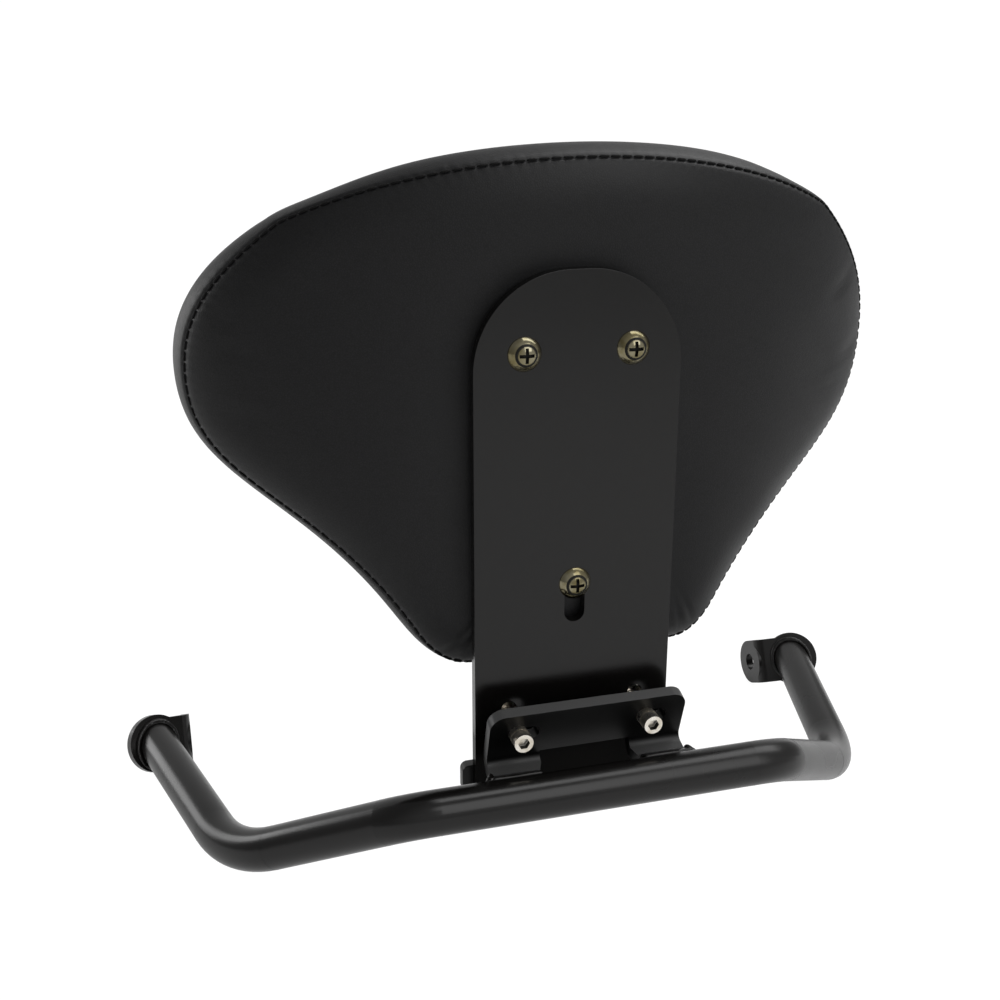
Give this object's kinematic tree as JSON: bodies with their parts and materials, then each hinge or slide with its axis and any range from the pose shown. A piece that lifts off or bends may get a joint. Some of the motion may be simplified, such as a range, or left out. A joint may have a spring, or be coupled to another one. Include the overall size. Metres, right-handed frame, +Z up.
{
  "type": "sissy bar",
  "caption": "Sissy bar: bent black steel tube with drilled tabs, slotted bracket, upright plate and a curved black backrest pad.",
  "frame": {"origin": "middle of the common axis of the two tab holes, halfway between the tabs", "axes": "+X to the rider's right along the tab holes' axis, +Y forward, +Z up along the upright plate"},
  "size_m": [0.453, 0.236, 0.376],
  "materials": {
    "tube_black": "satin",
    "bracket_black": "gloss",
    "plate_black": "satin",
    "screw_silver": "satin",
    "screw_dark": "aged",
    "board_wood": "plain",
    "pad_foam": "matte",
    "cover_black": "grained"
  },
  "bodies": {
    "root": {"bent_tube": "tube_black", "left_mount_tab": "tube_black", "right_mount_tab": "tube_black", "left_tab_weld": "tube_black", "right_tab_weld": "tube_black", "slotted_bracket": "bracket_black", "left_foot_weld": "bracket_black", "right_foot_weld": "bracket_black", "upright_plate": "plate_black", "plate_foot_bar": "plate_black", "left_clamp_screw": "screw_silver", "right_clamp_screw": "screw_silver", "left_head_collar": "screw_silver", "right_head_collar": "screw_silver", "left_spacer_sleeve": "bracket_black", "right_spacer_sleeve": "bracket_black", "left_clamp_washer": "screw_silver", "right_clamp_washer": "screw_silver", "left_clamp_nut": "screw_silver", "right_clamp_nut": "screw_silver", "upper_left_pad_screw": "screw_dark", "upper_right_pad_screw": "screw_dark", "lower_pad_screw": "screw_dark", "upper_left_tee_nut": "screw_silver", "upper_right_tee_nut": "screw_silver", "lower_tee_nut": "screw_silver", "pad_board": "board_wood", "foam_core": "pad_foam", "back_cover": "cover_black", "side_band": "cover_black", "front_cover": "cover_black"}
  },
  "joints": []
}
